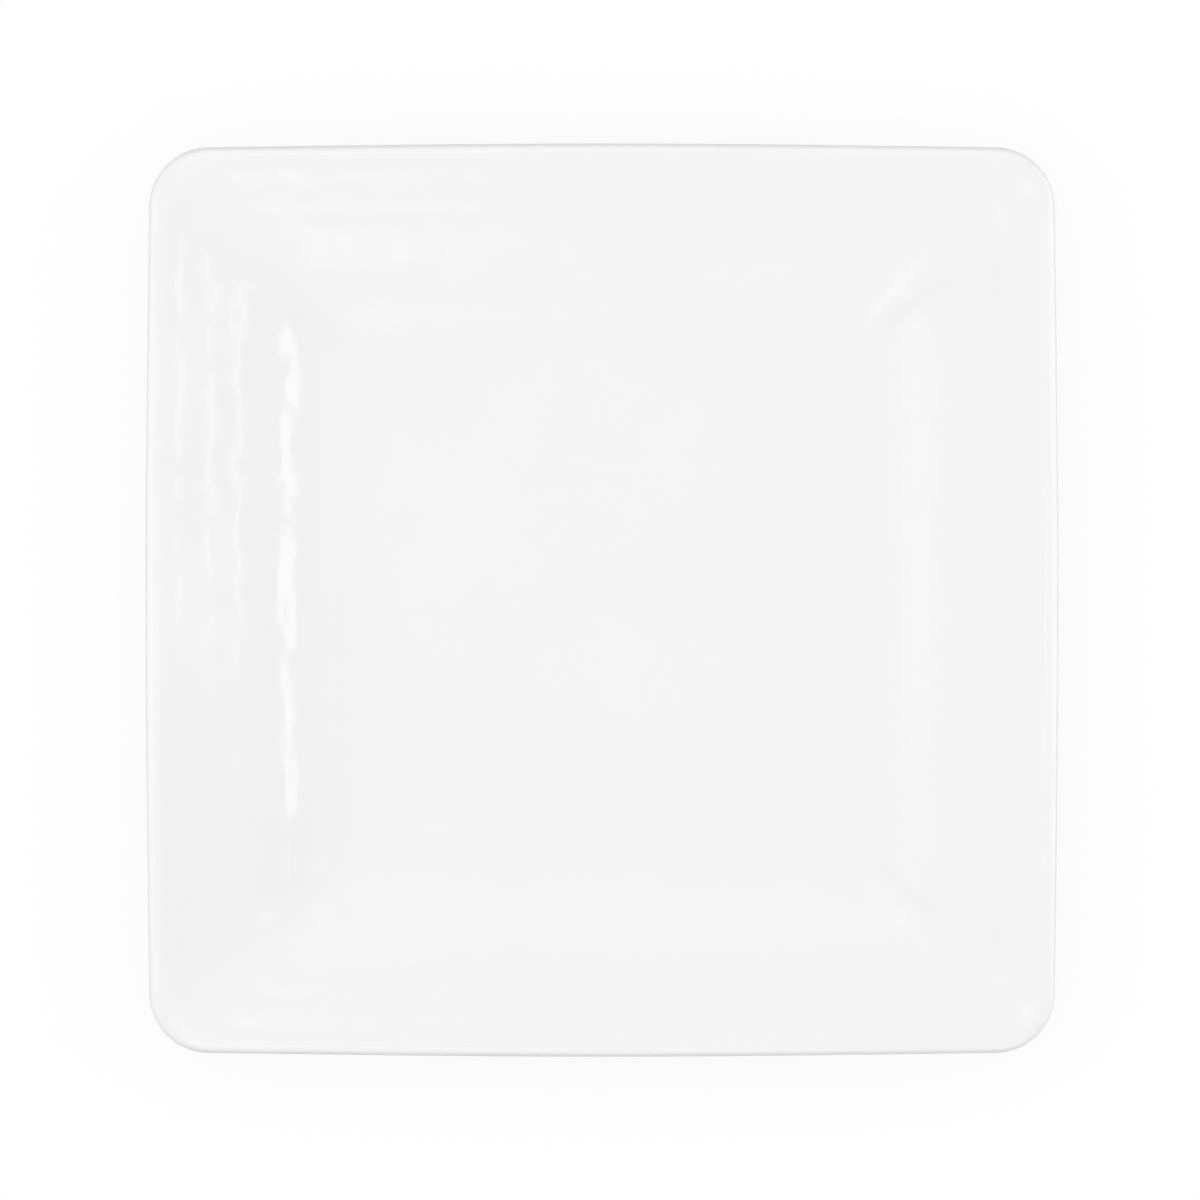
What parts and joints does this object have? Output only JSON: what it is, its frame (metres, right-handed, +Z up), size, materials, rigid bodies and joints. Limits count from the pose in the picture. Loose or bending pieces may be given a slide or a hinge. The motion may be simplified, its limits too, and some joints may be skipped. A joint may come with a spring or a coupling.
{
  "type": "square plate",
  "caption": "Square white melamine dinner plate with a flat well, a sloped wall, a broad softly ringed rim, bowed sides, round corners and a moulded foot to stand on.",
  "frame": {"origin": "under the middle of the plate, on the surface that it stands on", "axes": "+Z up out of the well, +X and +Y square to the sides"},
  "size_m": [0.267, 0.267, 0.022],
  "materials": {
    "melamine_body": "satin",
    "melamine_glaze": "gloss"
  },
  "bodies": {
    "root": {"moulded_body": "melamine_body", "glaze_layer": "melamine_glaze"}
  },
  "joints": []
}
